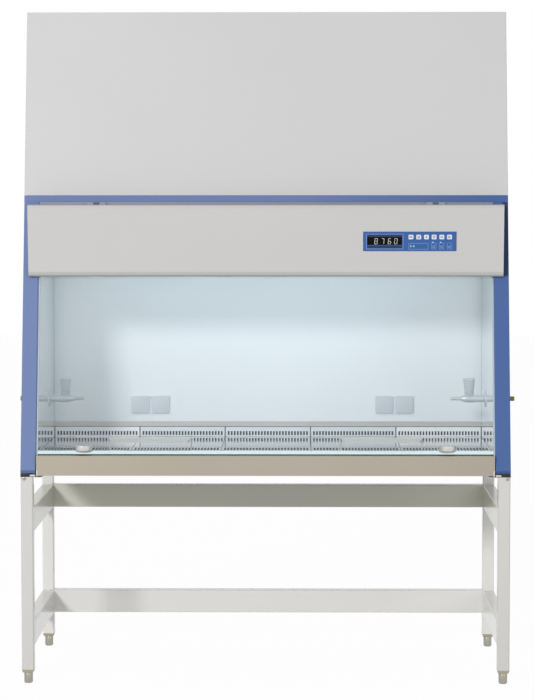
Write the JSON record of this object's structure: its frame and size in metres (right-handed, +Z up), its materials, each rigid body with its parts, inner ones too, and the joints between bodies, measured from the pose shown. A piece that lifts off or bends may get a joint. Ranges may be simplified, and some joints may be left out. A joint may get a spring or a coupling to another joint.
{
  "type": "biosafety cabinet",
  "caption": "Free-standing ventilated work cabinet with a sloping sash, slotted work trays, side windows, gas taps, flapped sockets and an open tube stand.",
  "frame": {"origin": "on the floor, at the middle of the bounding box in X and Y", "axes": "+Z up, +Y to the back, +X to the right of a user at the front"},
  "size_m": [1.698, 0.7368, 2.209],
  "materials": {
    "stand_paint": "gloss off-white paint",
    "plug_plastic": "moulded beige plastic",
    "foot_steel": "zinc-plated steel",
    "blue_paint": "satin blue paint",
    "cabinet_paint": "satin light grey paint",
    "chamber_paint": "smooth white paint",
    "side_glass": "clear safety glass",
    "sash_glass": "clear safety glass",
    "stainless": "polished or brushed stainless sheet",
    "rubber": "soft dark seal",
    "handle_plastic": "satin light grey",
    "guide_plastic": "slippery black plastic",
    "pulley_aluminium": "turned",
    "weight_iron": "rough cast",
    "cable_steel": "stranded steel",
    "hinge_steel": "plain steel",
    "panel_blue": "printed film over plastic",
    "display_black": "dark display window",
    "key_white": "pale domed keys",
    "lamp_white": "opal tube",
    "reflector": "bright sheet",
    "filter_media": "pleated filter in a frame",
    "plenum_steel": "galvanised sheet",
    "motor_dark": "dark housing",
    "impeller_grey": "sheet",
    "tap_body": "grey coated brass",
    "knob_grey": "grey moulded grip",
    "socket_plastic": "grey moulded plastic",
    "flap_plastic": "grey moulded plastic"
  },
  "bodies": {
    "cabinet": {"air_diffuser": "chamber_paint", "back_wall": "chamber_paint", "exhaust_filter": "filter_media", "fan_motor": "motor_dark", "fascia_hinges": "hinge_steel", "front_post_left": "blue_paint", "front_post_right": "blue_paint", "front_sill": "stainless", "hood_panel": "cabinet_paint", "hood_trim": "blue_paint", "lamp_reflector": "reflector", "lamp_tubes": "lamp_white", "leg_plugs": "plug_plastic", "plenum_box": "plenum_steel", "rear_air_guide": "stainless", "rear_panel": "cabinet_paint", "sash_cables": "cable_steel", "sash_guides": "guide_plastic", "sash_seal": "rubber", "side_panel_left": "cabinet_paint", "side_panel_right": "cabinet_paint", "side_windows": "side_glass", "socket_boxes": "socket_plastic", "spill_pan": "stainless", "stand_legs": "stand_paint", "stand_rear_rails": "stand_paint", "stand_side_rails": "stand_paint", "supply_filter": "filter_media", "tap_bodies": "tap_body", "top_cover": "cabinet_paint"},
    "foot_front_left": {"levelling_foot_front_left": "foot_steel"},
    "foot_front_right": {"levelling_foot_front_right": "foot_steel"},
    "foot_rear_left": {"levelling_foot_rear_left": "foot_steel"},
    "foot_rear_right": {"levelling_foot_rear_right": "foot_steel"},
    "sash": {"sash_glass": "sash_glass", "sash_handles": "handle_plastic"},
    "weight_left": {"sash_counterweight_left": "weight_iron"},
    "weight_right": {"sash_counterweight_right": "weight_iron"},
    "pulleys": {"sash_pulley_shaft": "pulley_aluminium"},
    "fascia": {"fascia": "cabinet_paint", "display_panel": "panel_blue", "display_window": "display_black"},
    "key_1": {"display_key_1": "key_white"},
    "key_2": {"display_key_2": "key_white"},
    "key_3": {"display_key_3": "key_white"},
    "key_4": {"display_key_4": "key_white"},
    "key_5": {"display_key_5": "key_white"},
    "key_6": {"display_key_6": "key_white"},
    "knob_left": {"tap_knob_left": "knob_grey"},
    "knob_right": {"tap_knob_right": "knob_grey"},
    "flap_1": {"socket_flap_1": "flap_plastic"},
    "flap_2": {"socket_flap_2": "flap_plastic"},
    "flap_3": {"socket_flap_3": "flap_plastic"},
    "flap_4": {"socket_flap_4": "flap_plastic"},
    "impeller": {"fan_impeller": "impeller_grey"},
    "trays_left": {"tray_pair_left": "stainless"},
    "trays_middle": {"tray_middle": "stainless"},
    "trays_right": {"tray_pair_right": "stainless"},
    "armrest_left": {"armrest_left": "stainless"},
    "armrest_right": {"armrest_right": "stainless"}
  },
  "joints": [
    {"name": "foot_front_left_screw", "type": "slide", "parent": "cabinet", "child": "foot_front_left", "axis": [0, 0, -1], "range_m": [0, 0.025]},
    {"name": "foot_front_right_screw", "type": "slide", "parent": "cabinet", "child": "foot_front_right", "axis": [0, 0, -1], "range_m": [0, 0.025]},
    {"name": "foot_rear_left_screw", "type": "slide", "parent": "cabinet", "child": "foot_rear_left", "axis": [0, 0, -1], "range_m": [0, 0.025]},
    {"name": "foot_rear_right_screw", "type": "slide", "parent": "cabinet", "child": "foot_rear_right", "axis": [0, 0, -1], "range_m": [0, 0.025]},
    {"name": "sash_slide", "type": "slide", "parent": "cabinet", "child": "sash", "axis": [0, 0.1908, 0.9816], "range_m": [0, 0.51], "deforming": ["sash_cables"]},
    {"name": "weight_left_slide", "type": "slide", "parent": "cabinet", "child": "weight_left", "axis": [0, 0, -1], "range_m": [0, 0.51]},
    {"name": "weight_right_slide", "type": "slide", "parent": "cabinet", "child": "weight_right", "axis": [0, 0, -1], "range_m": [0, 0.51]},
    {"name": "pulley_spin", "type": "hinge", "parent": "cabinet", "child": "pulleys", "pos_m": [0, -0.04088, 2.12], "axis": [-1, 0, 0], "range_deg": [0, 1050]},
    {"name": "fascia_hinge", "type": "hinge", "parent": "cabinet", "child": "fascia", "pos_m": [0, -0.20159, 1.5724], "axis": [-1, 0, 0], "range_deg": [0, 60]},
    {"name": "key_1_press", "type": "slide", "parent": "fascia", "child": "key_1", "axis": [0, 0.9951, 0.0989], "range_m": [0, 0.0006], "stiffness_N_per_m": 1500, "springref_m": -0.0004},
    {"name": "key_2_press", "type": "slide", "parent": "fascia", "child": "key_2", "axis": [0, 0.9951, 0.0989], "range_m": [0, 0.0006], "stiffness_N_per_m": 1500, "springref_m": -0.0004},
    {"name": "key_3_press", "type": "slide", "parent": "fascia", "child": "key_3", "axis": [0, 0.9951, 0.0989], "range_m": [0, 0.0006], "stiffness_N_per_m": 1500, "springref_m": -0.0004},
    {"name": "key_4_press", "type": "slide", "parent": "fascia", "child": "key_4", "axis": [0, 0.9951, 0.0989], "range_m": [0, 0.0006], "stiffness_N_per_m": 1500, "springref_m": -0.0004},
    {"name": "key_5_press", "type": "slide", "parent": "fascia", "child": "key_5", "axis": [0, 0.9951, 0.0989], "range_m": [0, 0.0006], "stiffness_N_per_m": 1500, "springref_m": -0.0004},
    {"name": "key_6_press", "type": "slide", "parent": "fascia", "child": "key_6", "axis": [0, 0.9951, 0.0989], "range_m": [0, 0.0006], "stiffness_N_per_m": 1500, "springref_m": -0.0004},
    {"name": "knob_left_turn", "type": "hinge", "parent": "cabinet", "child": "knob_left", "pos_m": [-0.694, 0.09541, 0.9248], "axis": [0, 0, -1], "range_deg": [0, 90]},
    {"name": "knob_right_turn", "type": "hinge", "parent": "cabinet", "child": "knob_right", "pos_m": [0.694, 0.09541, 0.9248], "axis": [0, 0, 1], "range_deg": [0, 90]},
    {"name": "flap_1_hinge", "type": "hinge", "parent": "cabinet", "child": "flap_1", "pos_m": [-0.447, 0.2726, 0.8923], "axis": [-1, 0, 0], "range_deg": [0, 100], "stiffness_Nm_per_rad": 0.03, "springref_deg": -17.19},
    {"name": "flap_2_hinge", "type": "hinge", "parent": "cabinet", "child": "flap_2", "pos_m": [-0.3768, 0.2726, 0.8923], "axis": [-1, 0, 0], "range_deg": [0, 100], "stiffness_Nm_per_rad": 0.03, "springref_deg": -17.19},
    {"name": "flap_3_hinge", "type": "hinge", "parent": "cabinet", "child": "flap_3", "pos_m": [0.4092, 0.2726, 0.8923], "axis": [-1, 0, 0], "range_deg": [0, 100], "stiffness_Nm_per_rad": 0.03, "springref_deg": -17.19},
    {"name": "flap_4_hinge", "type": "hinge", "parent": "cabinet", "child": "flap_4", "pos_m": [0.4794, 0.2726, 0.8923], "axis": [-1, 0, 0], "range_deg": [0, 100], "stiffness_Nm_per_rad": 0.03, "springref_deg": -17.19},
    {"name": "impeller_spin", "type": "hinge", "parent": "cabinet", "child": "impeller", "pos_m": [-0.33, 0.1154, 1.89], "axis": [0, 0, 1], "continuous": true},
    {"name": "trays_left_lift", "type": "slide", "parent": "cabinet", "child": "trays_left", "axis": [0, 0, 1], "range_m": [0, 0.04]},
    {"name": "trays_middle_lift", "type": "slide", "parent": "cabinet", "child": "trays_middle", "axis": [0, 0, 1], "range_m": [0, 0.04]},
    {"name": "trays_right_lift", "type": "slide", "parent": "cabinet", "child": "trays_right", "axis": [0, 0, 1], "range_m": [0, 0.04]},
    {"name": "armrest_left_lift", "type": "slide", "parent": "trays_left", "child": "armrest_left", "axis": [0, 0, 1], "range_m": [0, 0.03]},
    {"name": "armrest_right_lift", "type": "slide", "parent": "trays_right", "child": "armrest_right", "axis": [0, 0, 1], "range_m": [0, 0.03]}
  ],
  "couplings": [
    {"joint": "weight_left_slide", "follows": "sash_slide", "ratio": 1},
    {"joint": "weight_right_slide", "follows": "sash_slide", "ratio": 1},
    {"joint": "pulley_spin", "follows": "sash_slide", "rad_per_m": 35.714}
  ]
}
